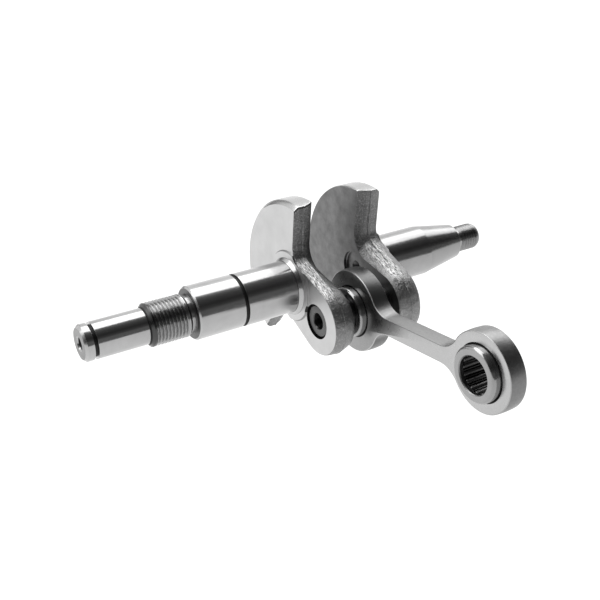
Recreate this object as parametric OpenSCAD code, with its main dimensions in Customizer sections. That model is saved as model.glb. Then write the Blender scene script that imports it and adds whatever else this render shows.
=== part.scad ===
// Pressed-up crankshaft of a small single-cylinder two-stroke engine, with
// its connecting rod, crank pin and both needle bearings.
// The shaft axis is X, the middle plane of the rod is X = 0, and the rod
// lies along -Y. All sizes are in millimetres.

/* [Crank] */

// Distance from the shaft axis to the crank pin axis
crank_throw = 15.0; // [13:0.5:16]
// Direction of the crank pin about the shaft axis, in degrees from +Y
pin_angle = 208.3; // [200:0.1:215]
// Thickness of each crank web
web_thickness = 6.7; // [6:0.1:7.5]
// Clear width between the two webs
web_gap = 15.4; // [14.5:0.1:17]
// Radius of the counterweight rim
counterweight_r = 24.7; // [23:0.1:26]
// Radius of the web around the crank pin
web_eye_r = 9.7; // [9:0.1:10.5]
// Half width of the web between the pin and the shaft
web_waist_r = 9.3; // [8.5:0.1:10]

/* [Clutch side shaft] */

// Distance from the rod's middle plane to the end of the clutch side
clutch_end_x = 77.0; // [75:0.5:80]
// Diameter of the plain stub that carries the clutch drum
stub_d = 10.0; // [9:0.5:10.5]
// Length of the plain stub
stub_length = 17.5; // [15:0.5:19]
// Diameter of the clutch thread
clutch_thread_d = 12.0; // [11:0.5:13]
// Pitch of the clutch thread
clutch_thread_pitch = 1.0; // [0.75:0.25:1.25]

/* [Flywheel side shaft] */

// Distance from the rod's middle plane to the end of the flywheel side
flywheel_end_x = 54.0; // [53:0.5:56]
// Diameter of the flywheel nut thread
flywheel_thread_d = 8.0; // [7:0.5:9]
// Pitch of the flywheel nut thread
flywheel_thread_pitch = 1.0; // [0.75:0.25:1.25]
// Diameter of the taper at its small end
taper_small_d = 10.6; // [10:0.1:11.5]
// Width of the keyway slot in the taper
keyway_width = 3.0; // [2:0.5:4]

/* [Bearing seats] */

// Diameter of both main bearing seats
seat_d = 15.0; // [14:0.5:16]

/* [Connecting rod] */

// Distance between the two bearing centres
rod_length = 53.0; // [50:0.5:56]
// Thickness of the rod
rod_thickness = 4.9; // [4.5:0.1:5.5]
// Radius of the big end
big_end_r = 11.9; // [11:0.1:12.5]
// Radius of the small end
small_end_r = 10.5; // [10:0.1:11.5]
// Height of the shank
shank_height = 4.9; // [4:0.1:6]

/* [Bearings] */

// Diameter of the crank pin
crank_pin_d = 10.0; // [9.8:0.1:10]
// Diameter of the wrist pin that the small end takes
wrist_pin_d = 9.5; // [9:0.1:10]
// Half width of each drawn cup
cup_half = 4.8; // [4.5:0.1:5.5]

/* [Hidden] */

$fn = 96;
EPS = 0.01;

web_inner_x = web_gap / 2;
web_outer_x = web_inner_x + web_thickness;
seat_r = seat_d / 2;

// Counterweight shoulder: its line crosses the waist at shoulder_p
shoulder_p = -2.1;
shoulder_slope = -0.287;
shoulder_fillet_r = 4.5;
bite = 0.03;
rim_chamfer_w = 1.1;
rim_chamfer_h = 1.2;
face_boss_r = 10.3;
face_boss_h = 0.5;
seat_fillet_r = 8.3;
seat_fillet_h = 0.8;
centre_recess_r = 5.2;
centre_recess_depth = 1.0;

// Clutch side stations along X
stub_r = stub_d / 2;
clip_near_x = -clutch_end_x + 2.5;
clip_far_x = clip_near_x + 1.0;
clip_groove_r = stub_r - 0.75;
stub_end_x = -clutch_end_x + stub_length;
thread_a_x = stub_end_x + 0.9;
clutch_thread_r = clutch_thread_d / 2;
clutch_thread_depth = 0.6;
thread_b_x = -48.4;
clutch_neck_r = 5.5;
clutch_shoulder_x = -46.3;
oil_groove_a_x = -32.6;
oil_groove_b_x = -31.5;
oil_groove_depth = 0.45;
edge_chamfer = 0.7;

// Flywheel side stations along X
taper_a_x = 31.4;
taper_b_x = 44.6;
taper_nose_r = 4.3;
taper_nose_x = 45.4;
flywheel_neck_r = 3.3;
flywheel_neck_x = 46.8;
flywheel_thread_r = flywheel_thread_d / 2;
flywheel_thread_depth = 0.5;
keyway_angle = 250.8;
keyway_floor_r = 4.6;
keyway_start_x = 35.0;

// Lathe centre holes in the shaft ends
centre_mouth_r = 1.9;
centre_bore_r = 0.8;

// Crank pin
crank_pin_r = crank_pin_d / 2;
crank_pin_bore_r = 2.3;
crank_pin_recess = 0.5;
crank_pin_chamfer = 0.6;

// Needle bearings: a drawn cup, a cage and needles at each end of the rod.
// Both cups have one outside size; the needles fill the room to each pin.
needle_count = 17;
cup_r = 7.25;
cup_wall = 0.85;
cup_corner_r = 0.8;
race_r = 6.4;
lip_clearance = 0.05;
needle_lift = 0.01;
race_clearance = 0.02;
needle_length = 6.6;
needle_nose = 0.13;
cage_gap = 0.25;
cage_half = 3.85;
pocket_clearance = 0.05;
pocket_length = needle_length + 0.2;

// Steel tones
steel = [0.72, 0.73, 0.75];
ground_steel = [0.82, 0.83, 0.85];
forged_steel = [0.5, 0.51, 0.53];
bearing_steel = [0.62, 0.63, 0.66];

// Which node to build

// ---- placing ----

// Stands a flat outline in the YZ plane and gives it a thickness from x0 to x1
module across_x(x0, x1) {
    translate([x0, 0, 0])
        rotate([90, 0, 90])
            linear_extrude(height = x1 - x0)
                children();
}

// Turns a profile drawn as [x, radius] about the X axis
module turned(profile) {
    rotate([90, 0, 90])
        rotate_extrude()
            polygon([for (p = profile) [p[1], p[0]]]);
}

// Moves children from the shaft axis to the crank pin axis
module at_crank_pin() {
    translate([0, crank_throw * cos(pin_angle), crank_throw * sin(pin_angle)])
        children();
}

// Moves children from the crank pin axis to the small end
module at_small_end() {
    at_crank_pin()
        translate([0, -rod_length, 0])
            children();
}

// ---- crank webs ----

// Rounds the inside corner between the waist and one counterweight shoulder.
// The cutting circle bites a hair into both edges, so that it crosses them.
module shoulder_fillet() {
    tilt = sqrt(1 + shoulder_slope * shoulder_slope);
    line_p = shoulder_p + shoulder_slope * shoulder_fillet_r;
    centre_p = line_p + (shoulder_fillet_r - bite) * tilt;
    centre_q = web_waist_r + shoulder_fillet_r - bite;
    foot_p = centre_p - shoulder_fillet_r / tilt;
    foot_q = centre_q - shoulder_fillet_r * shoulder_slope / tilt;
    difference() {
        polygon([
            [shoulder_p - 2, web_waist_r - 1],
            [centre_p, web_waist_r - 1],
            [centre_p, centre_q],
            [foot_p - 2, foot_q],
        ]);
        translate([centre_p, centre_q])
            circle(r = shoulder_fillet_r);
    }
}

module web_arm_outline() {
    translate([crank_throw, 0])
        circle(r = web_eye_r);
    polygon([
        [crank_throw, web_eye_r],
        [4, web_waist_r],
        [shoulder_p - 4, web_waist_r],
        [shoulder_p - 4, -web_waist_r],
        [4, -web_waist_r],
        [crank_throw, -web_eye_r],
    ]);
    shoulder_fillet();
    mirror([0, 1])
        shoulder_fillet();
}

// Side faces of the counterweight; its rim is turned
module counterweight_outline() {
    rim_q = counterweight_r + 2;
    rim_p = shoulder_p + shoulder_slope * (rim_q - web_waist_r);
    polygon([
        [shoulder_p, web_waist_r],
        [rim_p, rim_q],
        [-rim_q, rim_q],
        [-rim_q, -rim_q],
        [rim_p, -rim_q],
        [shoulder_p, -web_waist_r],
    ]);
}

// One web, outer face at -x; the rim of the counterweight is chamfered there
module web_blank() {
    across_x(-web_outer_x, -web_inner_x)
        rotate(pin_angle)
            web_arm_outline();
    intersection() {
        across_x(-web_outer_x - 1, -web_inner_x + 1)
            rotate(pin_angle)
                counterweight_outline();
        turned([
            [-web_outer_x, 0],
            [-web_outer_x, counterweight_r - rim_chamfer_w],
            [-web_outer_x + rim_chamfer_h, counterweight_r],
            [-web_inner_x, counterweight_r],
            [-web_inner_x, 0],
        ]);
    }
}

// Turned boss and collar where a shaft leaves its web. The boss is cut off
// at the flanks of the web, which are narrower than it.
module web_boss() {
    boss_x = -web_outer_x - face_boss_h;
    intersection() {
        across_x(boss_x, -web_outer_x + 1)
            rotate(pin_angle) {
                web_arm_outline();
                counterweight_outline();
            }
        turned([
            [boss_x - 1, 0],
            [boss_x - 1, face_boss_r],
            [-web_outer_x + 2, face_boss_r],
            [-web_outer_x + 2, 0],
        ]);
    }
    turned([
        [-web_outer_x + 1, 0],
        [-web_outer_x + 1, seat_fillet_r],
        [boss_x, seat_fillet_r],
        [boss_x - seat_fillet_h, seat_r],
        [boss_x - seat_fillet_h, 0],
    ]);
}

// Hole for the crank pin, and the turned recess on the shaft axis inside
module web_cuts() {
    at_crank_pin()
        across_x(-web_outer_x - 1, -web_inner_x + 1)
            circle(r = crank_pin_r);
    turned([
        [-web_inner_x + 1, 0],
        [-web_inner_x + 1, centre_recess_r],
        [-web_inner_x - centre_recess_depth, centre_recess_r],
        [-web_inner_x - centre_recess_depth, centre_mouth_r],
        [-web_inner_x - centre_recess_depth - 1.8, centre_bore_r],
        [-web_inner_x - centre_recess_depth - 3.0, centre_bore_r],
        [-web_inner_x - centre_recess_depth - 3.4, 0],
    ]);
}

// ---- shafts ----

// Centre hole in a shaft end; the end face is at x and the shaft goes dir
module centre_hole(x, dir) {
    turned([
        [x - dir, 0],
        [x - dir, centre_mouth_r],
        [x, centre_mouth_r],
        [x + dir * 1.9, centre_bore_r],
        [x + dir * 3.8, centre_bore_r],
        [x + dir * 4.2, 0],
    ]);
}

// Ring grooves with a thread's crest, root and pitch, from x0 to x1
module thread_grooves(x0, x1, crest_r, depth, pitch) {
    count = floor((x1 - x0) / pitch);
    for (i = [0 : count - 1]) {
        mid = x0 + (i + 0.5) * pitch;
        turned([
            [mid - pitch * 0.42, crest_r + EPS],
            [mid - pitch * 0.08, crest_r - depth],
            [mid + pitch * 0.08, crest_r - depth],
            [mid + pitch * 0.42, crest_r + EPS],
        ]);
    }
}

module clutch_side_body() {
    turned([
        [-clutch_end_x, 0],
        [-clutch_end_x, stub_r - edge_chamfer],
        [-clutch_end_x + edge_chamfer, stub_r],
        [clip_near_x, stub_r],
        [clip_near_x, clip_groove_r],
        [clip_far_x, clip_groove_r],
        [clip_far_x, stub_r],
        [stub_end_x, stub_r],
        [stub_end_x + 0.1, clutch_thread_r - 0.8],
        [thread_a_x, clutch_thread_r],
        [thread_b_x, clutch_thread_r],
        [thread_b_x + 0.4, clutch_neck_r],
        [clutch_shoulder_x, clutch_neck_r],
        [clutch_shoulder_x, seat_r - edge_chamfer],
        [clutch_shoulder_x + edge_chamfer, seat_r],
        [oil_groove_a_x, seat_r],
        [oil_groove_a_x, seat_r - oil_groove_depth],
        [oil_groove_b_x, seat_r - oil_groove_depth],
        [oil_groove_b_x, seat_r],
        [-web_outer_x + 1, seat_r],
        [-web_outer_x + 1, 0],
    ]);
}

module clutch_side_shaft() {
    color(ground_steel)
        difference() {
            union() {
                web_blank();
                web_boss();
                clutch_side_body();
            }
            web_cuts();
            centre_hole(-clutch_end_x, 1);
            thread_grooves(thread_a_x, thread_b_x, clutch_thread_r,
                clutch_thread_depth, clutch_thread_pitch);
        }
}

module flywheel_side_body() {
    turned([
        [web_outer_x - 1, 0],
        [web_outer_x - 1, seat_r],
        [taper_a_x, seat_r],
        [taper_b_x, taper_small_d / 2],
        [taper_nose_x, taper_nose_r],
        [taper_nose_x, flywheel_neck_r],
        [flywheel_neck_x, flywheel_neck_r],
        [flywheel_neck_x + 0.5, flywheel_thread_r],
        [flywheel_end_x - edge_chamfer, flywheel_thread_r],
        [flywheel_end_x, flywheel_thread_r - edge_chamfer],
        [flywheel_end_x, 0],
    ]);
}

// Slot along the taper for the flywheel's key
module keyway() {
    rotate([keyway_angle, 0, 0])
        translate([keyway_start_x, keyway_floor_r, -keyway_width / 2])
            cube([taper_nose_x - keyway_start_x + 1, seat_r, keyway_width]);
}

module flywheel_side_shaft() {
    color(ground_steel)
        difference() {
            union() {
                mirror([1, 0, 0]) {
                    web_blank();
                    web_boss();
                }
                flywheel_side_body();
            }
            mirror([1, 0, 0])
                web_cuts();
            centre_hole(flywheel_end_x, -1);
            thread_grooves(flywheel_neck_x + 0.5, flywheel_end_x - edge_chamfer,
                flywheel_thread_r, flywheel_thread_depth, flywheel_thread_pitch);
            keyway();
        }
}

module crank_pin() {
    pin_end_x = web_outer_x - crank_pin_recess;
    color(steel)
        at_crank_pin()
            turned([
                [-pin_end_x, crank_pin_bore_r],
                [-pin_end_x, crank_pin_r - crank_pin_chamfer],
                [-pin_end_x + crank_pin_chamfer, crank_pin_r],
                [pin_end_x - crank_pin_chamfer, crank_pin_r],
                [pin_end_x, crank_pin_r - crank_pin_chamfer],
                [pin_end_x, crank_pin_bore_r],
            ]);
}

// ---- connecting rod ----

// Rounds the inside corner between an end of radius end_r and the shank
module shank_fillet(end_r, reach) {
    half = shank_height / 2;
    inset_r = end_r - bite;
    fillet_r = (reach * reach + half * half - inset_r * inset_r) / (2 * (inset_r - half));
    fillet_y = half + fillet_r - bite;
    difference() {
        polygon([
            [0, 0],
            [reach, 0],
            [reach, fillet_y],
        ]);
        translate([reach, fillet_y])
            circle(r = fillet_r);
    }
}

module shank_fillets(big_reach, small_reach) {
    shank_fillet(big_end_r, big_reach);
    translate([rod_length, 0])
        mirror([1, 0])
            shank_fillet(small_end_r, small_reach);
}

// Outline with the big end at the origin and the small end along +x
module rod_outline() {
    big_reach = big_end_r + 4.4;
    small_reach = small_end_r + 4.4;
    circle(r = big_end_r);
    translate([rod_length, 0])
        circle(r = small_end_r);
    translate([0, -shank_height / 2])
        square([rod_length, shank_height]);
    shank_fillets(big_reach, small_reach);
    mirror([0, 1])
        shank_fillets(big_reach, small_reach);
}

module connecting_rod() {
    color(steel)
        at_crank_pin()
            across_x(-rod_thickness / 2, rod_thickness / 2)
                rotate(180)
                    difference() {
                        rod_outline();
                        circle(r = cup_r);
                        translate([rod_length, 0])
                            circle(r = cup_r);
                    }
}

// ---- needle bearings ----

// Radius of the lips that just clear a pin of diameter pin_d
function lip_r(pin_d) = pin_d / 2 + lip_clearance;

// Radius of the needles between a pin of diameter pin_d and the raceway
function needle_r(pin_d) = (race_r - race_clearance - lip_r(pin_d) - needle_lift) / 2;

// Radius of the circle that the needle axes lie on
function needle_orbit_r(pin_d) = lip_r(pin_d) + needle_lift + needle_r(pin_d);

// Section of the drawn cup: a channel with turned-in lips and rounded corners
module cup_section(pin_d) {
    inner_r = lip_r(pin_d);
    difference() {
        union() {
            translate([inner_r, -cup_half + cup_corner_r])
                square([cup_r - inner_r, 2 * (cup_half - cup_corner_r)]);
            translate([inner_r, -cup_half])
                square([cup_r - inner_r - cup_corner_r, 2 * cup_half]);
            for (side = [-1, 1])
                translate([cup_r - cup_corner_r, side * (cup_half - cup_corner_r)])
                    circle(r = cup_corner_r);
        }
        translate([0, -cup_half + cup_wall])
            square([race_r, 2 * (cup_half - cup_wall)]);
    }
}

module bearing_cup(pin_d) {
    color(bearing_steel)
        rotate([90, 0, 90])
            rotate_extrude()
                cup_section(pin_d);
}

// Thin sleeve with one slot for each needle
module bearing_cage(pin_d) {
    in_r = lip_r(pin_d) + cage_gap;
    out_r = race_r - cage_gap;
    slot_w = 2 * (needle_r(pin_d) + pocket_clearance);
    color(bearing_steel)
        difference() {
            turned([
                [-cage_half, in_r],
                [-cage_half, out_r],
                [cage_half, out_r],
                [cage_half, in_r],
            ]);
            for (i = [0 : needle_count - 1])
                rotate([i * 360 / needle_count, 0, 0])
                    translate([-pocket_length / 2, in_r - 1, -slot_w / 2])
                        cube([pocket_length, out_r - in_r + 2, slot_w]);
        }
}

// Needle number i, counted from +Y, with small chamfers on its ends
module needle(i, pin_d) {
    half = needle_length / 2;
    r = needle_r(pin_d);
    color(bearing_steel)
        rotate([(i - 1) * 360 / needle_count, 0, 0])
            translate([0, needle_orbit_r(pin_d), 0])
                turned([
                    [-half, 0],
                    [-half, r - needle_nose],
                    [-half + needle_nose, r],
                    [half - needle_nose, r],
                    [half, r - needle_nose],
                    [half, 0],
                ]);
}

module big_end_cup() {
    at_crank_pin()
        bearing_cup(crank_pin_d);
}

module big_end_cage() {
    at_crank_pin()
        bearing_cage(crank_pin_d);
}

module small_end_cup() {
    at_small_end()
        bearing_cup(wrist_pin_d);
}

module small_end_cage() {
    at_small_end()
        bearing_cage(wrist_pin_d);
}

module big_end_needle_01() {
    at_crank_pin()
        needle(1, crank_pin_d);
}

module big_end_needle_02() {
    at_crank_pin()
        needle(2, crank_pin_d);
}

module big_end_needle_03() {
    at_crank_pin()
        needle(3, crank_pin_d);
}

module big_end_needle_04() {
    at_crank_pin()
        needle(4, crank_pin_d);
}

module big_end_needle_05() {
    at_crank_pin()
        needle(5, crank_pin_d);
}

module big_end_needle_06() {
    at_crank_pin()
        needle(6, crank_pin_d);
}

module big_end_needle_07() {
    at_crank_pin()
        needle(7, crank_pin_d);
}

module big_end_needle_08() {
    at_crank_pin()
        needle(8, crank_pin_d);
}

module big_end_needle_09() {
    at_crank_pin()
        needle(9, crank_pin_d);
}

module big_end_needle_10() {
    at_crank_pin()
        needle(10, crank_pin_d);
}

module big_end_needle_11() {
    at_crank_pin()
        needle(11, crank_pin_d);
}

module big_end_needle_12() {
    at_crank_pin()
        needle(12, crank_pin_d);
}

module big_end_needle_13() {
    at_crank_pin()
        needle(13, crank_pin_d);
}

module big_end_needle_14() {
    at_crank_pin()
        needle(14, crank_pin_d);
}

module big_end_needle_15() {
    at_crank_pin()
        needle(15, crank_pin_d);
}

module big_end_needle_16() {
    at_crank_pin()
        needle(16, crank_pin_d);
}

module big_end_needle_17() {
    at_crank_pin()
        needle(17, crank_pin_d);
}

module small_end_needle_01() {
    at_small_end()
        needle(1, wrist_pin_d);
}

module small_end_needle_02() {
    at_small_end()
        needle(2, wrist_pin_d);
}

module small_end_needle_03() {
    at_small_end()
        needle(3, wrist_pin_d);
}

module small_end_needle_04() {
    at_small_end()
        needle(4, wrist_pin_d);
}

module small_end_needle_05() {
    at_small_end()
        needle(5, wrist_pin_d);
}

module small_end_needle_06() {
    at_small_end()
        needle(6, wrist_pin_d);
}

module small_end_needle_07() {
    at_small_end()
        needle(7, wrist_pin_d);
}

module small_end_needle_08() {
    at_small_end()
        needle(8, wrist_pin_d);
}

module small_end_needle_09() {
    at_small_end()
        needle(9, wrist_pin_d);
}

module small_end_needle_10() {
    at_small_end()
        needle(10, wrist_pin_d);
}

module small_end_needle_11() {
    at_small_end()
        needle(11, wrist_pin_d);
}

module small_end_needle_12() {
    at_small_end()
        needle(12, wrist_pin_d);
}

module small_end_needle_13() {
    at_small_end()
        needle(13, wrist_pin_d);
}

module small_end_needle_14() {
    at_small_end()
        needle(14, wrist_pin_d);
}

module small_end_needle_15() {
    at_small_end()
        needle(15, wrist_pin_d);
}

module small_end_needle_16() {
    at_small_end()
        needle(16, wrist_pin_d);
}

module small_end_needle_17() {
    at_small_end()
        needle(17, wrist_pin_d);
}

clutch_side_shaft();
flywheel_side_shaft();
crank_pin();
connecting_rod();
big_end_cup();
big_end_cage();
big_end_needle_01();
big_end_needle_02();
big_end_needle_03();
big_end_needle_04();
big_end_needle_05();
big_end_needle_06();
big_end_needle_07();
big_end_needle_08();
big_end_needle_09();
big_end_needle_10();
big_end_needle_11();
big_end_needle_12();
big_end_needle_13();
big_end_needle_14();
big_end_needle_15();
big_end_needle_16();
big_end_needle_17();
small_end_cup();
small_end_cage();
small_end_needle_01();
small_end_needle_02();
small_end_needle_03();
small_end_needle_04();
small_end_needle_05();
small_end_needle_06();
small_end_needle_07();
small_end_needle_08();
small_end_needle_09();
small_end_needle_10();
small_end_needle_11();
small_end_needle_12();
small_end_needle_13();
small_end_needle_14();
small_end_needle_15();
small_end_needle_16();
small_end_needle_17();
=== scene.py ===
# Looks for the crankshaft: shafts, webs, crank pin, rod and needle bearings, around the CAD
# frame. X runs along the shaft and is 0 in the rod's middle plane. Lengths are millimetres,
# apart from the floor, the light and the camera's place, which are metres.
import math

import bmesh
import bpy
from mathutils import Matrix, Vector, noise

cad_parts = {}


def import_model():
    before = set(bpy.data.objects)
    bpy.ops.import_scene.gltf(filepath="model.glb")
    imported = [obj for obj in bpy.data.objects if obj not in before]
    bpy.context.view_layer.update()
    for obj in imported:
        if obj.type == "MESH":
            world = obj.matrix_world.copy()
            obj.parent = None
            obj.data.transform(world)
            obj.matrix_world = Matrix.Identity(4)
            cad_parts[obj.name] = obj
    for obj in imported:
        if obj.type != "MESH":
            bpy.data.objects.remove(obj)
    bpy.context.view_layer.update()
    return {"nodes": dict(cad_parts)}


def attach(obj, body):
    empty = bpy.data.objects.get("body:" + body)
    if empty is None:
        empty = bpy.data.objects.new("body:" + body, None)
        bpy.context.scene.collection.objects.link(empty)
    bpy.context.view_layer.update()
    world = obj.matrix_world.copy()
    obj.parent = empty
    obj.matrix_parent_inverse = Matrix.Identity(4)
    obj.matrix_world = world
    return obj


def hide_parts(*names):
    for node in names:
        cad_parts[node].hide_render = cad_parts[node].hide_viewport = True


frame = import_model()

MM = 0.001
TAU = 2 * math.pi

# ---- sizes, the same as the CAD part ----
THROW = 15.0
PIN_ANGLE = math.radians(208.3)
PIN = (THROW * math.cos(PIN_ANGLE), THROW * math.sin(PIN_ANGLE))
ROD_LENGTH = 53.0
SMALL = (PIN[0] - ROD_LENGTH, PIN[1])
WEB_OUT = 14.4
WEB_IN = 7.7
BOSS_H = 0.5
CLUTCH_END = -77.0
FLYWHEEL_END = 54.0
SEAT_R = 7.5
COLLAR_R = 8.4
STUB_R = 5.0
CLUTCH_THREAD_R = 6.0
FLYWHEEL_THREAD_R = 4.0
THREAD_PITCH = 1.0
THREAD_ROW = 0.06
TAPER_START, TAPER_END = 31.4, 44.6
PIN_R = 5.0
PIN_BORE_R = 2.3
ROD_HALF_WIDTH = 2.45
CUP_R = 7.25
CUP_HALF_LENGTH = 4.8
RACE_R = 6.4
NEEDLES = 17
NEEDLE_LENGTH = 6.6
SMOOTH_DEG = 32.0


# ---------------------------------------------------------------- mesh kit


def new_object(name, verts, faces, materials, slots=None):
    """A mesh object from millimetre points, smooth except at sharp edges."""
    mesh = bpy.data.meshes.new(name)
    mesh.from_pydata([Vector(v) * MM for v in verts], [], faces)
    mesh.validate()
    obj = bpy.data.objects.new(name, mesh)
    bpy.context.scene.collection.objects.link(obj)
    for m in materials:
        mesh.materials.append(m)
    if slots:
        for poly, s in zip(mesh.polygons, slots):
            poly.material_index = s
    fix_normals(mesh)
    shade(obj)
    return obj


def fix_normals(mesh):
    """Turns every face outward."""
    bm = bmesh.new()
    bm.from_mesh(mesh)
    bmesh.ops.recalc_face_normals(bm, faces=bm.faces)
    bm.to_mesh(mesh)
    bm.free()


def shade(obj):
    """Smooth shading, with hard edges where the faces meet at more than SMOOTH_DEG."""
    bm = bmesh.new()
    bm.from_mesh(obj.data)
    limit = math.radians(SMOOTH_DEG)
    for f in bm.faces:
        f.smooth = True
    for e in bm.edges:
        hard = len(e.link_faces) != 2 or e.calc_face_angle(0.0) > limit
        e.smooth = not hard
    bm.to_mesh(obj.data)
    bm.free()


def rounded(points, steps=5):
    """A polyline with its corners rounded. Each point is (x, r, radius)."""
    out = []
    last = len(points) - 1
    for i, (x, r, rad) in enumerate(points):
        if rad <= 0 or i in (0, last):
            out.append((x, r))
            continue
        here = Vector((x, r))
        a = Vector(points[i - 1][:2]) - here
        b = Vector(points[i + 1][:2]) - here
        half = a.angle(b) / 2
        if half > math.pi / 2 - 0.02:
            out.append((x, r))
            continue
        cut = min(rad / math.tan(half), a.length * 0.49, b.length * 0.49)
        rad = cut * math.tan(half)
        a.normalize()
        b.normalize()
        centre = here + (a + b).normalized() * (rad / math.sin(half))
        start, end = here + a * cut - centre, here + b * cut - centre
        turn = start.angle_signed(end)
        for k in range(steps + 1):
            p = start.copy()
            p.rotate(Matrix.Rotation(-turn * k / steps, 2))
            out.append(tuple(centre + p))
    return out


def lathe_mesh(profile, seg, centre=(0.0, 0.0), radius_at=None):
    """Turns (x, r) pairs about an axis along X. Ends at r = 0 close to a point."""
    verts, rows = [], []
    for x, r in profile:
        if r <= 1e-6:
            rows.append([len(verts)])
            verts.append((x, centre[0], centre[1]))
            continue
        row = []
        for j in range(seg):
            a = TAU * j / seg
            rr = radius_at(x, r, a) if radius_at else r
            row.append(len(verts))
            verts.append((x, centre[0] + rr * math.cos(a), centre[1] + rr * math.sin(a)))
        rows.append(row)
    faces = []
    for a, b in zip(rows, rows[1:]):
        if len(a) == 1 and len(b) == 1:
            continue
        for j in range(seg):
            k = (j + 1) % seg
            if len(a) == 1:
                faces.append((a[0], b[j], b[k]))
            elif len(b) == 1:
                faces.append((a[j], b[0], a[k]))
            else:
                faces.append((a[j], b[j], b[k], a[k]))
    return verts, faces


def lathe(name, profile, material, seg=192, centre=(0.0, 0.0), radius_at=None, closed=False):
    """A turned object; closed joins the profile's last point to its first."""
    if closed:
        profile = list(profile) + [profile[0]]
    verts, faces = lathe_mesh(profile, seg, centre, radius_at)
    obj = new_object(name, verts, faces, [material])
    if closed:
        weld(obj)
    return obj


def weld(obj):
    """Joins doubled points, for a profile or cut that meets itself."""
    bm = bmesh.new()
    bm.from_mesh(obj.data)
    bmesh.ops.remove_doubles(bm, verts=bm.verts, dist=1e-7)
    bmesh.ops.recalc_face_normals(bm, faces=bm.faces)
    bm.to_mesh(obj.data)
    bm.free()
    shade(obj)


def cut(obj, tool):
    """Takes the tool's shape out of the object at once and removes the tool."""
    mod = obj.modifiers.new("cut", "BOOLEAN")
    mod.operation = "DIFFERENCE"
    mod.solver = "EXACT"
    mod.object = tool
    dg = bpy.context.evaluated_depsgraph_get()
    mesh = bpy.data.meshes.new_from_object(obj.evaluated_get(dg))
    obj.modifiers.remove(mod)
    obj.data = mesh
    bpy.data.objects.remove(tool)


def place(obj, body, *nodes):
    """Puts a piece on a body, in place of the CAD nodes named."""
    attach(obj, body)
    if nodes:
        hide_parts(*nodes)
    return obj


# --------------------------------------------------------------- materials


class Tree:
    """Small helper that adds and joins shader nodes in a node tree."""

    def __init__(self, tree):
        self.tree = tree

    def add(self, kind, **settings):
        node = self.tree.nodes.new(kind)
        for key, value in settings.items():
            setattr(node, key, value)
        return node

    def link(self, a, b):
        self.tree.links.new(a, b)

    def ramp(self, fac, stops):
        """Colour ramp of (position, grey) stops."""
        node = self.add("ShaderNodeValToRGB")
        elements = node.color_ramp.elements
        for pos, _ in stops[1:-1]:
            elements.new(pos)
        for element, (pos, grey) in zip(elements, stops):
            element.position = pos
            element.color = (grey, grey, grey, 1)
        self.link(fac, node.inputs["Fac"])
        return node.outputs["Color"]

    def math(self, op, *values):
        """Math node whose inputs are numbers or sockets."""
        node = self.add("ShaderNodeMath", operation=op)
        for socket, value in zip(node.inputs, values):
            if isinstance(value, (int, float)):
                socket.default_value = value
            else:
                self.link(value, socket)
        return node.outputs["Value"]


class Nodes(Tree):
    """A metal or other material, its shader and its object coordinates."""

    def __init__(self, name, base, metallic, rough):
        self.mat = bpy.data.materials.new(name)
        self.mat.use_nodes = True
        super().__init__(self.mat.node_tree)
        self.bsdf = self.tree.nodes["Principled BSDF"]
        self.bsdf.inputs["Base Color"].default_value = (base, base, base, 1)
        self.bsdf.inputs["Metallic"].default_value = metallic
        self.bsdf.inputs["Roughness"].default_value = rough
        self.coords = self.add("ShaderNodeTexCoord").outputs["Object"]

    def stretched(self, scale):
        node = self.add("ShaderNodeMapping")
        node.inputs["Scale"].default_value = scale
        self.link(self.coords, node.inputs["Vector"])
        return node.outputs["Vector"]

    def noise(self, vector, scale, detail=4.0, rough=0.55):
        node = self.add("ShaderNodeTexNoise")
        node.inputs["Scale"].default_value = scale
        node.inputs["Detail"].default_value = detail
        node.inputs["Roughness"].default_value = rough
        self.link(vector, node.inputs["Vector"])
        return node.outputs["Fac"]

    def mix(self, fac, a, b):
        """Blend of two greys or colours; fac is always a socket."""
        node = self.add("ShaderNodeMix", data_type="RGBA")
        self.link(fac, node.inputs[0])
        for socket, value in ((node.inputs[6], a), (node.inputs[7], b)):
            if isinstance(value, float):
                socket.default_value = (value, value, value, 1)
            else:
                self.link(value, socket)
        return node.outputs[2]

    def bump(self, height, strength, distance_mm):
        node = self.add("ShaderNodeBump")
        node.inputs["Strength"].default_value = strength
        node.inputs["Distance"].default_value = distance_mm * MM
        self.link(height, node.inputs["Height"])
        self.set("Normal", node.outputs["Normal"])

    def set(self, socket, value):
        self.link(value, self.bsdf.inputs[socket])


def ground_material(name, base, rough, ring=0.05):
    """Ground shaft: fine rings round X that smear reflections along it, faint stains."""
    n = Nodes(name, base, 1.0, rough)
    n.bsdf.inputs["Anisotropic"].default_value = 0.85
    n.bsdf.inputs["Anisotropic Rotation"].default_value = 0.25
    around = n.add("ShaderNodeTangent", direction_type="RADIAL", axis="X")
    n.link(around.outputs["Tangent"], n.bsdf.inputs["Tangent"])
    rings = n.noise(n.stretched((6000, 60, 60)), 1.0, 3.0, 0.6)
    stain = n.noise(n.stretched((160, 160, 160)), 1.0, 5.0, 0.6)
    n.set("Base Color", n.ramp(stain, [(0.25, base * 0.9), (0.75, base * 1.05)]))
    n.set("Roughness", n.ramp(rings, [(0.2, rough * 0.75), (0.8, rough * 1.35)]))
    if ring > 0:
        n.bump(rings, ring, 0.02)
    return n.mat


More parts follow.
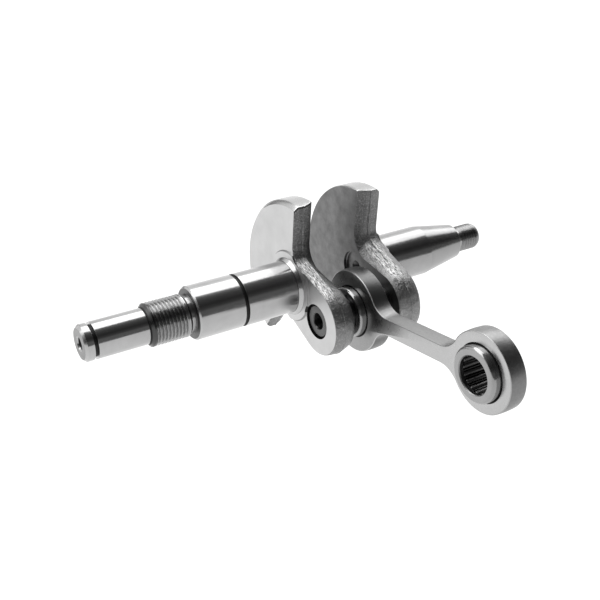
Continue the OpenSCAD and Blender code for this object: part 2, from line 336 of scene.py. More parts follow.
def faced_material(name, base, rough, lay=0.10, mottle=0.06, patch=130):
    """Face turned on a lathe: faint arcs round the shaft's axis, and mottled stains."""
    n = Nodes(name, base, 1.0, rough)
    flat = n.add("ShaderNodeVectorMath", operation="MULTIPLY")
    flat.inputs[1].default_value = (0, 1, 1)
    n.link(n.coords, flat.inputs[0])
    length = n.add("ShaderNodeVectorMath", operation="LENGTH")
    n.link(flat.outputs[0], length.inputs[0])
    radius = n.add("ShaderNodeCombineXYZ")
    n.link(n.math("MULTIPLY", length.outputs["Value"], 7000), radius.inputs[0])
    arcs = n.noise(radius.outputs[0], 1.0, 2.0, 0.6)
    stain = n.noise(n.coords, patch, 6.0, 0.65)
    n.set("Base Color", n.ramp(stain, [(0.3, base * (1 - 2 * mottle)), (0.7, base * (1 + mottle))]))
    n.set("Roughness", n.ramp(stain, [(0.3, rough * 1.15), (0.7, rough * 0.9)]))
    n.bump(arcs, lay, 0.02)
    return n.mat


def forged_material(name, side, low, high):
    """Forged skin of a web: dark scale, with a bright sheared flash line on the flanks."""
    n = Nodes(name, low, 1.0, 0.4)
    sep = n.add("ShaderNodeSeparateXYZ")
    n.link(n.coords, sep.inputs[0])
    grit = n.noise(n.coords, 2400, 3.0, 0.7)
    coarse = n.noise(n.coords, 900, 5.0, 0.65)
    wide = n.noise(n.coords, 160, 3.0, 0.6)
    along = n.noise(n.stretched((4200, 700, 700)), 1.0, 4.0, 0.7)
    skin = n.ramp(wide, [(0.3, low), (0.7, high)])
    spark = n.ramp(grit, [(0.53, 0.0), (0.68, 1.0)])
    # mm along the web from the shaft's axis towards the pin, and mm from the rod's middle plane
    cp, sp = math.cos(PIN_ANGLE), math.sin(PIN_ANGLE)
    p = n.math("ADD", n.math("MULTIPLY", sep.outputs[1], cp), n.math("MULTIPLY", sep.outputs[2], sp))
    p = n.math("MULTIPLY", p, 1000)
    x = n.math("MULTIPLY", n.math("ABSOLUTE", sep.outputs[0]), 1000)
    # 0 just behind the shaft's axis, 1 near the tip of the eye
    run = n.math("MULTIPLY", n.math("ADD", p, 4.0), 0.04)
    tip = n.ramp(run, [(0.84, 0.0), (1.0, 0.35)])
    skin = n.mix(tip, skin, 0.34)
    skin = n.mix(n.math("MULTIPLY", spark, 0.5), skin, 0.55)
    # strip of sheared flash between the waist and the eye, with a ragged edge
    wob = n.math("MULTIPLY", n.math("SUBTRACT", n.noise(n.coords, 500, 3.0), 0.5), 1.4)
    centre, half = (12.8, 1.5) if side < 0 else (10.8, 1.9)
    off = n.math("ABSOLUTE", n.math("SUBTRACT", n.math("ADD", x, wob), centre))
    strip = n.ramp(n.math("DIVIDE", off, half * 2), [(0.36, 1.0), (0.58, 0.0)])
    reach = n.ramp(run, [(0.14, 0.0), (0.22, 1.0), (0.74, 1.0), (0.92, 0.0)])
    band = n.math("MULTIPLY", strip, reach)
    bright = n.ramp(along, [(0.38, 0.07), (0.50, 0.36), (0.64, 0.72)])
    n.set("Base Color", n.mix(band, skin, bright))
    n.set("Roughness", n.mix(band, 0.40, 0.30))
    height = n.math("ADD", n.math("MULTIPLY", grit, 0.35), n.math("MULTIPLY", coarse, 0.9))
    height = n.math("ADD", height, n.math("MULTIPLY", n.math("MULTIPLY", along, band), 0.8))
    n.bump(height, 1.0, 0.28)
    return n.mat


def satin_material(name, base, rough):
    """Tumbled or blasted steel: even satin with fine grain and faint blotches."""
    n = Nodes(name, base, 1.0, rough)
    grain = n.noise(n.coords, 1500, 5.0, 0.65)
    blotch = n.noise(n.coords, 160, 5.0, 0.6)
    n.set("Base Color", n.ramp(blotch, [(0.3, base * 0.86), (0.7, base * 1.06)]))
    n.set("Roughness", n.ramp(grain, [(0.3, rough * 0.85), (0.7, rough * 1.15)]))
    n.bump(grain, 0.2, 0.03)
    return n.mat


def rod_material(name, shades, rough, grain_scale, strength, speckle=0.12):
    """Rod steel whose tone changes from big end over the shank to small end; the tones paint light and
    shade along the rod.
    """
    n = Nodes(name, shades[1], 1.0, rough)
    sep = n.add("ShaderNodeSeparateXYZ")
    n.link(n.coords, sep.inputs[0])
    blotch = n.noise(n.coords, 190, 5.0, 0.6)
    grain = n.noise(n.coords, grain_scale, 5.0, 0.65)
    run = n.math("DIVIDE", n.math("SUBTRACT", PIN[0] * MM, sep.outputs[1]), ROD_LENGTH * MM)
    run = n.math("ADD", run, n.math("MULTIPLY", n.math("SUBTRACT", blotch, 0.5), 0.1))
    tone = n.ramp(run, [(0.17, shades[0]), (0.33, shades[1]), (0.74, shades[2]), (0.86, shades[3])])
    n.set("Base Color", n.mix(n.math("MULTIPLY", grain, speckle), tone, 0.05))
    n.set("Roughness", n.ramp(grain, [(0.3, rough * 0.85), (0.7, rough * 1.15)]))
    n.bump(grain, strength, 0.05)
    return n.mat


M_SHAFT = ground_material("shaft_steel_ground", 0.44, 0.19)
# darker copies of the ground steel for the far seat and taper: painted shade
M_SEAT_FAR_SHADED = ground_material("shaft_steel_far_seat_shaded", 0.36, 0.2)
M_TAPER_SHADED = ground_material("shaft_steel_taper_shaded", 0.33, 0.2, ring=0.0)
# dark satin in the reliefs: painted shade
M_RELIEF_SHADE = satin_material("shaft_relief_painted_shade", 0.10, 0.35)
# dark lead-in cone before the thread: painted shade
M_LEAD_SHADE = ground_material("shaft_lead_painted_shade", 0.08, 0.26)
# darker copy of the ground steel on the far thread: painted shade of its grooves
M_THREAD_FAR_SHADED = ground_material("shaft_steel_far_thread_shaded", 0.26, 0.28)
M_ARC = satin_material("boss_edge_dark", 0.28, 0.4)
M_THREAD = ground_material("shaft_steel_thread", 0.34, 0.24)
M_END = faced_material("shaft_end_turned", 0.26, 0.4)
# near-black steel that paints shade into holes, bores, chamfers and the key slot, and a dark reflection at
# a web's rim corner
M_SHADE_DARK = satin_material("painted_shade_dark", 0.035, 0.5)
M_RIM = ground_material("web_rim_turned", 0.47, 0.24)
# near black in the undercut grooves: painted shade
M_GROOVE_SHADE = satin_material("shaft_groove_painted_shade", 0.035, 0.5)
M_FACE = faced_material("web_face_turned", 0.53, 0.36, mottle=0.035)
# inner faces between the webs darker: painted shade
M_INNER_SHADED = faced_material("web_inner_face_shaded", 0.18, 0.38, lay=0.2, mottle=0.13, patch=260)
M_FORGED_A = forged_material("web_forged_skin_clutch", -1, 0.12, 0.2)
M_FORGED_B = forged_material("web_forged_skin_flywheel", 1, 0.15, 0.26)
M_PIN = ground_material("pin_steel_ground", 0.10, 0.3)
# face darker at the big end: painted shade and dark reflection between the webs
M_ROD_FACE = rod_material("rod_face_ground", (0.29, 0.44, 0.457, 0.475), 0.30, 900, 0.02, 0.06)
# sides darker at the big end between the webs: painted shade
M_ROD_SIDE = rod_material("rod_steel_forged", (0.14, 0.29, 0.30, 0.24), 0.36, 1500, 0.45, 0.3)
# edges lighter at the big and small ends: painted highlight
M_ROD_EDGE_HIGHLIGHT = rod_material("rod_edge_painted_highlight", (0.5, 0.3, 0.3, 0.4), 0.3, 1500, 0.1)
M_CUP = ground_material("cup_steel_drawn", 0.33, 0.18)
# dark steel of the cages, also painted as shade on the cups' raceways
M_CAGE_DARK_AND_SHADE = satin_material("cage_steel_dark_and_painted_shade", 0.08, 0.45)
M_LIP = satin_material("cup_lip_drawn", 0.30, 0.42)
# needles darkened: painted shade inside the bearings
M_NEEDLE_SHADED = ground_material("needle_steel_polished_shaded", 0.15, 0.4)


# ------------------------------------------------------------------ shafts


def clamp(value):
    return min(1.0, max(0.0, value))


def thread_radius(x0, x1, crest, depth, pitch):
    """Radius of a right-hand V thread with a flat crest, running out at both ends."""

    def radius(x, r, a):
        if not x0 - pitch < x < x1 + pitch:
            return r
        turn = (x - x0) / pitch - a / TAU
        off_crest = abs((turn % 1.0) - 0.5) * 2
        groove = depth * clamp((off_crest - 0.12) / 0.76)
        fade = clamp((x - x0 + pitch * 0.3) / (pitch * 0.6))
        fade *= clamp((x1 - x + pitch * 0.3) / (pitch * 0.9))
        return min(r, crest - groove * fade) if r > crest - depth * 1.02 else r

    return radius


def fine_rows(profile, x0, x1, step):
    """Adds rows every step between x0 and x1, for a thread."""
    out = []
    for (xa, ra), (xb, rb) in zip(profile, profile[1:]):
        out.append((xa, ra))
        lo, hi = max(xa, x0), min(xb, x1)
        if xb > xa and hi - lo > step:
            k = int((hi - lo) / step)
            for i in range(1, k + 1):
                x = lo + (hi - lo) * i / (k + 1)
                out.append((x, ra + (rb - ra) * (x - xa) / (xb - xa)))
    out.append(profile[-1])
    return out


# materials of the near shaft between two X stations: undercuts, lead-in and reliefs painted dark as shade,
# and the thread
CLUTCH_BANDS = [
    (M_GROOVE_SHADE, -59.65, -59.15),
    (M_LEAD_SHADE, -59.15, -58.0),
    (M_THREAD, -58.0, -48.6),
    (M_RELIEF_SHADE, -46.78, -46.28),
    (M_GROOVE_SHADE, -32.60, -31.50),
    (M_GROOVE_SHADE, -74.50, -73.50),
    (M_RELIEF_SHADE, -16.15, -15.95),
]


def centre_hole(x_end, inward):
    """Profile of the hole in a shaft's end, from its bottom out to the end face."""
    steps = [(4.2, 0, 0), (3.8, 0.8, 0), (1.9, 0.8, 0.1), (0.4, 1.75, 0.1)]
    return [(x_end + inward * depth, r, corner) for depth, r, corner in steps]


def collar(side):
    """Profile of the collar beside a web, from the bearing seat into the web."""
    boss = WEB_OUT + BOSS_H
    steps = [
        (boss + 1.1, SEAT_R, 0.6),
        (boss + 0.15, COLLAR_R, 0.3),
        (boss - 0.6, COLLAR_R, 0),
        (WEB_OUT - 2.0, 6.0, 0),
        (WEB_OUT - 2.0, 0, 0),
    ]
    return [(side * x, r, corner) for x, r, corner in steps]


def clutch_shaft():
    e = CLUTCH_END
    pts = centre_hole(e, 1) + [
        (e, 2.1, 0.1),
        (e, 4.25, 0.15),
        (e + 0.75, STUB_R, 0.2),
        (e + 2.5, STUB_R, 0.12),
        (e + 2.5, 4.2, 0.1),
        (e + 3.5, 4.2, 0.1),
        (e + 3.5, STUB_R, 0.05),
        (-59.6, STUB_R, 0.1),
        (-59.45, 4.9, 0.1),
        (-58.5, CLUTCH_THREAD_R, 0.1),
        (-48.4, CLUTCH_THREAD_R, 0.1),
        (-47.7, 5.35, 0.3),
        (-46.75, 5.35, 0.3),
        (-46.3, 5.6, 0.1),
        (-46.3, 7.0, 0.12),
        (-45.85, SEAT_R, 0.15),
        (-32.6, SEAT_R, 0.08),
        (-32.6, 7.05, 0.1),
        (-31.5, 7.05, 0.1),
        (-31.5, SEAT_R, 0.08),
    ]
    profile = fine_rows(rounded(pts + collar(-1)), -59.6, -48.2, THREAD_ROW)
    radius = thread_radius(-58.0, -49.0, CLUTCH_THREAD_R, 0.62, THREAD_PITCH)
    obj = lathe("clutch_shaft", profile, M_SHAFT, 224, radius_at=radius)
    paint_ranges(obj, CLUTCH_BANDS)
    paint_end(obj, e)
    return place(obj, "crank", "clutch_side_shaft")


def off_axis(poly, centre=(0.0, 0.0)):
    """Distance in mm of a face's middle from the line along X through centre."""
    at = poly.center / MM
    return math.hypot(at.y - centre[0], at.z - centre[1])


def paint_ranges(obj, ranges):
    """Gives faces between two X stations another material."""
    for mat, _, _ in ranges:
        if obj.data.materials.find(mat.name) < 0:
            obj.data.materials.append(mat)
    for poly in obj.data.polygons:
        x = poly.center.x / MM
        for mat, lo, hi in ranges:
            if lo < x < hi:
                poly.material_index = obj.data.materials.find(mat.name)


def paint_end(obj, x_end):
    """The flat end of a shaft keeps its turned finish, its centre hole is painted near black as shade."""
    obj.data.materials.append(M_SHADE_DARK)
    obj.data.materials.append(M_END)
    end_slot = len(obj.data.materials) - 1
    for poly in obj.data.polygons:
        depth = abs(poly.center.x / MM - x_end)
        if off_axis(poly) < 1.3 and depth > 0.9:
            poly.material_index = end_slot - 1
        if abs(poly.normal.x) > 0.9 and depth < 0.6:
            poly.material_index = end_slot


def flywheel_shaft():
    e = FLYWHEEL_END
    pts = collar(1)[::-1] + [
        (TAPER_START, SEAT_R, 0.3),
        (TAPER_END, 5.3, 0.15),
        (45.4, 4.3, 0.1),
        (45.5, 3.3, 0.1),
        (46.8, 3.3, 0.2),
        (47.5, FLYWHEEL_THREAD_R, 0.1),
        (e - 1.3, FLYWHEEL_THREAD_R, 0.5),
        (e - 0.35, 3.6, 0.3),
        (e, 2.9, 0.2),
        (e, 2.0, 0.1),
    ]
    pts += centre_hole(e, -1)[::-1]
    profile = fine_rows(rounded(pts), 46.9, e, THREAD_ROW)
    radius = thread_radius(47.6, e - 1.3, FLYWHEEL_THREAD_R, 0.5, THREAD_PITCH)
    obj = lathe("flywheel_shaft", profile, M_SHAFT, 192, radius_at=radius)
    # the far seat, taper and far thread take darker copies of the ground steel: painted shade
    bands = [(M_THREAD_FAR_SHADED, 46.4, e - 0.1), (M_TAPER_SHADED, TAPER_START, 45.5), (M_SEAT_FAR_SHADED, 16.0, TAPER_START)]
    paint_ranges(obj, bands)
    paint_end(obj, e)
    # the key slot's faces are painted near black as shade
    cut(obj, keyway_tool(obj.data.materials.find(M_SHADE_DARK.name)))
    shade(obj)
    return place(obj, "crank", "flywheel_side_shaft")


KEYWAY_LENGTH, KEYWAY_DEPTH, KEYWAY_WIDTH = 11.4, 4.0, 3.0
KEYWAY_X = 40.7
KEYWAY_FLOOR_R = 4.6
KEYWAY_TURN = math.radians(250.8)


def keyway_tool(slot):
    """Round-edged bar that cuts the key slot along the taper; slot is its material's number."""
    bm = bmesh.new()
    bmesh.ops.create_cube(bm, size=1.0)
    bmesh.ops.bevel(bm, geom=bm.edges[:], offset=0.02, segments=2, affect="EDGES")
    mesh = bpy.data.meshes.new("slot")
    bm.to_mesh(mesh)
    bm.free()
    for poly in mesh.polygons:
        poly.material_index = slot
    obj = bpy.data.objects.new("slot", mesh)
    bpy.context.scene.collection.objects.link(obj)
    size = Matrix.Diagonal((KEYWAY_LENGTH * MM, KEYWAY_DEPTH * MM, KEYWAY_WIDTH * MM, 1))
    shift = Matrix.Translation((KEYWAY_X * MM, (KEYWAY_FLOOR_R + KEYWAY_DEPTH / 2) * MM, 0))
    mesh.transform(Matrix.Rotation(KEYWAY_TURN, 4, "X") @ shift @ size)
    return obj


# -------------------------------------------------------------------- webs

# The outline is drawn with p along the web towards the pin and q across it.
EYE_R = 9.7
WAIST = (4.0, 9.2)
SHOULDER_AT = (-2.9, 12.0)
SHOULDER_N = Vector((1.0, 0.287)).normalized()
FILLET_R = 4.5
RIM_R = 24.7
RIM_CORNER_R = 0.3
# points on half an outline: eye, flank, fillet, shoulder, corner, rim
EYE_POINTS, FLANK_POINTS, FILLET_POINTS, SHOULDER_POINTS, CORNER_POINTS, RIM_POINTS = 44, 36, 26, 40, 8, 80
CORNER_FROM = EYE_POINTS + FLANK_POINTS + FILLET_POINTS + SHOULDER_POINTS
RIM_FROM = CORNER_FROM + CORNER_POINTS // 2
# material slots of a web
FORGED, FACE, INNER, RIM, DARK, BOSS_EDGE = range(6)


def arc(centre, radius, a0, a1, n):
    """n points of an arc, without its last one."""
    angles = [a0 + (a1 - a0) * i / n for i in range(n)]
    return [Vector((centre[0] + radius * math.cos(a), centre[1] + radius * math.sin(a))) for a in angles]


def line(a, b, n):
    """n points of a straight stretch, without its last one."""
    return [a.lerp(b, i / n) for i in range(n)]


def crossing(n1, k1, n2, k2):
    """Point where the lines n1 . p = k1 and n2 . p = k2 cross."""
    det = n1.x * n2.y - n1.y * n2.x
    return Vector(((k1 * n2.y - n1.y * k2) / det, (n1.x * k2 - n2.x * k1) / det))


def half_loop(eye_in, flank_in, shoulder_in, rim_r):
    """Upper half of the web outline, from the tip of the eye to the back of the rim."""
    eye_r = EYE_R - eye_in
    eye = Vector((THROW, 0.0))
    # flank: touches the eye and passes the waist
    waist = Vector((WAIST[0], WAIST[1] - flank_in))
    to = waist - eye
    lean = math.atan2(to.y, to.x) - math.acos(eye_r / to.length)
    flank_n = Vector((math.cos(lean), math.sin(lean)))
    flank_k = flank_n.dot(eye) + eye_r
    # fillet between flank and shoulder
    shoulder_k = SHOULDER_N.dot(Vector(SHOULDER_AT)) - shoulder_in
    fillet_r = FILLET_R + (flank_in + shoulder_in) / 2
    fillet = crossing(flank_n, flank_k + fillet_r, SHOULDER_N, shoulder_k + fillet_r)
    fillet_from, fillet_to = fillet - flank_n * fillet_r, fillet - SHOULDER_N * fillet_r
    # small corner between shoulder and rim
    corner_k = shoulder_k - RIM_CORNER_R
    along = Vector((-SHOULDER_N.y, SHOULDER_N.x))
    corner = SHOULDER_N * corner_k + along * math.sqrt((rim_r - RIM_CORNER_R) ** 2 - corner_k**2)
    corner_from = corner + SHOULDER_N * RIM_CORNER_R
    rim_from = math.atan2(corner.y, corner.x)
    shoulder_turn = math.atan2(SHOULDER_N.y, SHOULDER_N.x)
    fillet_turns = [math.atan2(-n.y, -n.x) % TAU for n in (flank_n, SHOULDER_N)]
    pts = arc(eye, eye_r, 0.0, lean, EYE_POINTS)
    pts += line(eye + flank_n * eye_r, fillet_from, FLANK_POINTS)
    pts += arc(fillet, fillet_r, *fillet_turns, FILLET_POINTS)
    pts += line(fillet_to, corner_from, SHOULDER_POINTS)
    pts += arc(corner, RIM_CORNER_R, shoulder_turn, rim_from, CORNER_POINTS)
    pts += arc((0, 0), rim_r, rim_from, math.pi, RIM_POINTS)
    return pts


def web_loop(eye_in, flank_in, shoulder_in, rim_r):
    """Whole web outline: the upper half and its mirror image."""
    upper = half_loop(eye_in, flank_in, shoulder_in, rim_r)
    lower = [Vector((p.x, -p.y)) for p in reversed(upper[1:])]
    return upper + [Vector((-rim_r, 0.0))] + lower


def web_rows():
    """(depth below the outer face, inset of eye, flank and shoulder, rim radius), from outside in.

    The forged skin bulges to the flash line at the middle and draws in towards the inner face."""
    return [
        (-BOSS_H - 0.3, 0.12, 0.12, 0.12, 23.5),
        (0.0, 0.12, 0.12, 0.12, 23.5),
        (0.1, 0.0, 0.0, 0.0, 23.62),
        (0.5, -0.12, -0.18, -0.12, 24.06),
        (0.95, -0.24, -0.34, -0.22, 24.5),
        (1.2, -0.28, -0.42, -0.28, 24.64),
        (1.6, -0.32, -0.5, -0.34, RIM_R),
        (2.1, -0.36, -0.56, -0.38, RIM_R),
        (2.5, -0.36, -0.58, -0.38, RIM_R),
        (2.9, -0.32, -0.56, -0.34, RIM_R),
        (3.1, -0.46, -0.66, -0.46, RIM_R),
        (3.3, -0.46, -0.62, -0.46, RIM_R),
        (3.5, -0.24, -0.22, -0.2, RIM_R),
        (4.0, -0.16, 0.0, -0.04, RIM_R),
        (4.5, -0.05, 0.32, 0.14, RIM_R),
        (5.0, 0.08, 0.74, 0.4, RIM_R),
        (5.5, 0.22, 1.25, 0.7, RIM_R),
        (6.0, 0.42, 1.8, 1.06, RIM_R),
        (6.4, 0.66, 2.3, 1.4, 24.6),
        (6.62, 0.86, 2.6, 1.6, 24.5),
        (6.7, 0.98, 2.7, 1.66, 24.4),
    ]


def web_slot(j, count, side):
    """Slot of a side face: rim, painted dark reflection at the rim's corner, or forged skin."""
    j = min(j, count - 1 - j)
    if j >= RIM_FROM:
        return RIM
    return DARK if side < 0 and j in (CORNER_FROM - 1, CORNER_FROM) else FORGED


def web_solid(side):
    """Forged blank of a web as a closed loft, side -1 at -X and 1 at +X."""
    cp, sp = math.cos(PIN_ANGLE), math.sin(PIN_ANGLE)
    verts, rows = [], []
    for depth, eye_in, flank_in, shoulder_in, rim_r in web_rows():
        x = side * (WEB_OUT - depth)
        loop = web_loop(eye_in, flank_in, shoulder_in, rim_r)
        count = len(loop)
        row = []
        for i, p in enumerate(loop):
            sideways = min(i, count - i) < RIM_FROM
            if sideways and 0.2 < depth < 6.5:
                a, b = loop[i - 1], loop[(i + 1) % count]
                normal = Vector(((b - a).y, -(b - a).x)).normalized()
                p = p + normal * forging_noise(p, x)
            row.append(len(verts))
            verts.append((x, p.x * cp - p.y * sp, p.x * sp + p.y * cp))
        rows.append(row)
    faces, slots = [], []
    for a, b in zip(rows, rows[1:]):
        for j in range(len(a)):
            k = (j + 1) % len(a)
            faces.append((a[j], a[k], b[k], b[j]))
            slots.append(web_slot(j, len(a), side))
    faces += [tuple(rows[0]), tuple(reversed(rows[-1]))]
    slots += [FACE, INNER]
    name, forged = ("clutch_web", M_FORGED_A) if side < 0 else ("flywheel_web", M_FORGED_B)
    materials = [forged, M_FACE, M_INNER_SHADED, M_RIM, M_SHADE_DARK, M_ARC]
    return new_object(name, verts, faces, materials, slots)


def forging_noise(p, x):
    """Small bumps of a forged skin, in mm."""
    big = noise.noise(Vector((p.x * 0.45, p.y * 0.45, x * 0.6)))
    small = noise.noise(Vector((p.x * 1.7, p.y * 1.7, x * 1.9)))
    fine = noise.noise(Vector((p.x * 4.1, p.y * 4.1, x * 4.7)))
    return 0.09 * big + 0.05 * small + 0.02 * fine


def turned_tool(profile, slot, seg=256, centre=(0.0, 0.0)):
    """Closed turned tool; the faces that it cuts take the material of that slot."""
    verts, faces = lathe_mesh(list(profile) + [profile[0]], seg, centre)
    obj = new_object("tool", verts, faces, [])
    weld(obj)
    for poly in obj.data.polygons:
        poly.material_index = slot
    return obj


def web(side):
    """One web with its boss, pin hole and inner recess; side -1 at -X and 1 at +X."""
    obj = web_solid(side)
    boss = WEB_OUT + BOSS_H
    outside = WEB_OUT + 8
    facing = [
        (outside, 10.1),
        (boss - 0.12, 10.1),
        (boss - 0.2, 10.22),
        (WEB_OUT + 0.12, 10.3),
        (WEB_OUT, 10.45),
        (WEB_OUT, 60.0),
        (outside, 60.0),
    ]
    boss_top = [(boss, 0.0), (outside, 0.0), (outside, 12.0), (boss, 12.0)]
    pin_hole = [
        (WEB_IN - 2, 0.0),
        (WEB_IN - 2, PIN_R),
        (boss - 0.55, PIN_R),
        (boss + 0.02, PIN_R + 0.42),
        (WEB_OUT + 5, PIN_R + 0.42),
        (WEB_OUT + 5, 0.0),
    ]
    recess = [
        (WEB_IN - 2, 0.0),
        (WEB_IN - 2, 5.2),
        (WEB_IN + 0.85, 5.0),
        (WEB_IN + 1.0, 4.8),
        (WEB_IN + 1.0, 2.0),
        (WEB_IN + 2.6, 0.8),
        (WEB_IN + 3.8, 0.8),
        (WEB_IN + 4.2, 0.0),
    ]
    centre = (0.0, 0.0)
    cuts = (
        (facing, FACE, 256, centre),
        (boss_top, FACE, 256, centre),
        # the pin hole is painted near black as shade
        (pin_hole, DARK, 160, PIN),
        (recess, INNER, 128, centre),
    )
    for profile, slot, seg, at in cuts:
        cut(obj, turned_tool([(side * x, r) for x, r in profile], slot, seg, at))
    weld(obj)
    darken_boss_edge(obj)
    return place(obj, "crank", "clutch_side_shaft" if side < 0 else "flywheel_side_shaft")


def darken_boss_edge(obj):
    """The step round the boss is given a darker satin steel."""
    for poly in obj.data.polygons:
        on_step = 10.0 < off_axis(poly) < 10.6 and abs(poly.center.x / MM) > WEB_OUT
        if on_step and abs(poly.normal.x) < 0.97:
            poly.material_index = BOSS_EDGE


def crank_pin():
    e = WEB_OUT - 0.5
    half = [(e - 0.6, PIN_R, 0.2), (e, 4.35, 0.12), (e, PIN_BORE_R + 0.2, 0.05), (e - 0.25, PIN_BORE_R, 0)]
    pts = [(-x, r, corner) for x, r, corner in reversed(half)] + half
    obj = lathe("crank_pin_visual", rounded(pts), M_PIN, 128, PIN, closed=True)
    return place(obj, "crank", "crank_pin")


# --------------------------------------------------------------------- rod

SHANK_H = 4.9
BIG_R = 11.9
SMALL_R = 10.5
NECK = 4.4
# material slots of the rod
ROD_FACE, ROD_SIDE, ROD_EDGE_HIGHLIGHT, ROD_BORE_SHADE = range(4)


def neck(end_r):
    """Where the shank meets an end: distance from the end's centre, and fillet radius there."""
    reach = end_r + NECK
    half = SHANK_H / 2
    return reach, (reach**2 + half**2 - end_r**2) / (2 * (end_r - half))


def rod_half(inset):
    """Upper half of the rod outline from the big end's back to the small end's tip, along +p."""
    half = SHANK_H / 2 - inset
    (big_reach, big_fillet), (small_reach, small_fillet) = neck(BIG_R), neck(SMALL_R)
    big_fillet += inset
    small_fillet += inset
    big_at = Vector((big_reach, half + big_fillet))
    small_at = Vector((ROD_LENGTH - small_reach, half + small_fillet))
    big_turn = math.atan2(big_at.y, big_at.x)
    small_turn = math.atan2(small_at.y, ROD_LENGTH - small_at.x)
    pts = arc((0, 0), BIG_R - inset, math.pi, big_turn, 110)
    pts += arc(big_at, big_fillet, big_turn + math.pi, 1.5 * math.pi, 30)
    pts += line(Vector((big_at.x, half)), Vector((small_at.x, half)), 40)
    pts += arc(small_at, small_fillet, -math.pi / 2, -small_turn, 30)
    pts += arc((ROD_LENGTH, 0), SMALL_R - inset, math.pi - small_turn, 0.0, 100)
    return pts


def rod_loop(inset):
    """Whole rod outline: the upper half, the tip and the mirror image."""
    upper = rod_half(inset)
    tip = Vector((ROD_LENGTH + SMALL_R - inset, 0.0))
    return upper + [tip] + [Vector((p.x, -p.y)) for p in reversed(upper[1:])]


def rod_rows():
    """(x, inset of the outline) from one face to the other: rounded edges, a slight barrel between."""
    half, edge, steps = ROD_HALF_WIDTH, 0.3, 10
    corner = [(-half, 0.26), (-half + 0.05, 0.12), (-half + 0.14, 0.03), (-half + edge, 0.0)]
    barrel = []
    for i in range(1, steps):
        x = -half + edge + 2 * (half - edge) * i / steps
        barrel.append((x, -0.10 * math.sin(math.pi * i / steps)))
    return corner + barrel + [(-x, inset) for x, inset in reversed(corner)]


def connecting_rod():
    half = ROD_HALF_WIDTH
    verts, rows = [], []
    for x, inset in rod_rows():
        row = []
        for p in rod_loop(inset):
            bump = 0.025 * forging_noise(p, x) if abs(x) < half - 0.35 else 0.0
            row.append(len(verts))
            verts.append((x, PIN[0] - p.x, PIN[1] + p.y * (1 + bump)))
        rows.append(row)
    faces, slots = [], []
    for n, (a, b) in enumerate(zip(rows, rows[1:])):
        for j in range(len(a)):
            k = (j + 1) % len(a)
            faces.append((a[j], a[k], b[k], b[j]))
            # the rounded edges take the painted highlight
            slots.append(ROD_EDGE_HIGHLIGHT if n < 2 or n > len(rows) - 4 else ROD_SIDE)
    faces += [tuple(rows[0]), tuple(reversed(rows[-1]))]
    slots += [ROD_FACE, ROD_FACE]
    obj = new_object("connecting_rod_visual", verts, faces, [M_ROD_FACE, M_ROD_SIDE, M_ROD_EDGE_HIGHLIGHT], slots)
    # bores with a chamfer at each face
    chamfer_r, depth = CUP_R + 0.4, 0.3
    bore = [(half + 2, 0.0), (half + 2, chamfer_r), (half, chamfer_r), (half - depth, CUP_R)]
    profile = [(-x, r) for x, r in bore] + bore[::-1]
    for centre in (PIN, SMALL):
        cut(obj, turned_tool(profile, ROD_FACE, 192, centre))
    weld(obj)
    # the bores and their chamfers are painted near black as shade
    obj.data.materials.append(M_SHADE_DARK)
    for poly in obj.data.polygons:
        if abs(poly.normal.x) < 0.9 and min(off_axis(poly, PIN), off_axis(poly, SMALL)) < chamfer_r + 0.01:
            poly.material_index = ROD_BORE_SHADE
    return place(obj, "rod", "connecting_rod")


# ---------------------------------------------------------------- bearings


def cup(name, centre, lip_r, node):
    """Drawn cup with rolled lips, hollow inside; its raceway and the inside of its lips are painted dark
    as shade, and its lips are satin.
    """
    h, wall = CUP_HALF_LENGTH, 0.85
    half = [
        (h, CUP_R, 0.95),
        (h, lip_r + 0.3, 0.3),
        (h - wall / 2, lip_r, 0.25),
        (h - wall, lip_r + 0.25, 0.2),
        (h - wall, RACE_R, 0),
    ]
    pts = [(-x, r, corner) for x, r, corner in reversed(half)] + half
    obj = lathe(name, rounded(pts, 8), M_CUP, 160, centre, closed=True)
    obj.data.materials.append(M_CAGE_DARK_AND_SHADE)
    obj.data.materials.append(M_LIP)
    for poly in obj.data.polygons:
        inside = abs(poly.center.x / MM) < h - 0.3
        r = off_axis(poly, centre)
        # the raceway and the lips' inner walls are painted dark as shade
        if inside and r < RACE_R + 0.02:
            poly.material_index = 1
        elif not inside and r < lip_r + 0.34:
            poly.material_index = 2
    return place(obj, "rod", node)


def needle_mesh(r):
    h = NEEDLE_LENGTH / 2
    pts = [(-h, 0, 0), (-h, r, 0.35), (h, r, 0.35), (h, 0, 0)]
    return lathe_mesh(rounded(pts, 6), 40)


def needles(prefix, centre, orbit, r):
    """A ring of needles, each its own piece on its own rolling body."""
    base_verts, base_faces = needle_mesh(r)
    for i in range(NEEDLES):
        a = TAU * i / NEEDLES
        y, z = centre[0] + orbit * math.cos(a), centre[1] + orbit * math.sin(a)
        node = f"{prefix}_needle_{i + 1:02d}"
        verts = [(v[0], v[1] + y, v[2] + z) for v in base_verts]
        obj = new_object(node + "_visual", verts, base_faces, [M_NEEDLE_SHADED])
        place(obj, node, node)


def finish_cad_nodes():
    """The cages keep their CAD shape and get the dark sheet finish."""
    for name, node in frame["nodes"].items():
        if name.endswith("_cage"):
            node.data.materials.clear()
            node.data.materials.append(M_CAGE_DARK_AND_SHADE)


# ------------------------------------------------------------------- stage


# the floor lies clear below the rod where it hangs straight down
FLOOR_Z = (PIN[1] - ROD_LENGTH - 15.0) * MM
FLOOR_SPAN = 13.09 * -FLOOR_Z
FLOOR_NEAR = 8.38 * FLOOR_Z
FLOOR_FAR = 24.0
FLOOR_X = (-12.0, 16.0)
FLOOR_GLOW = 1.5
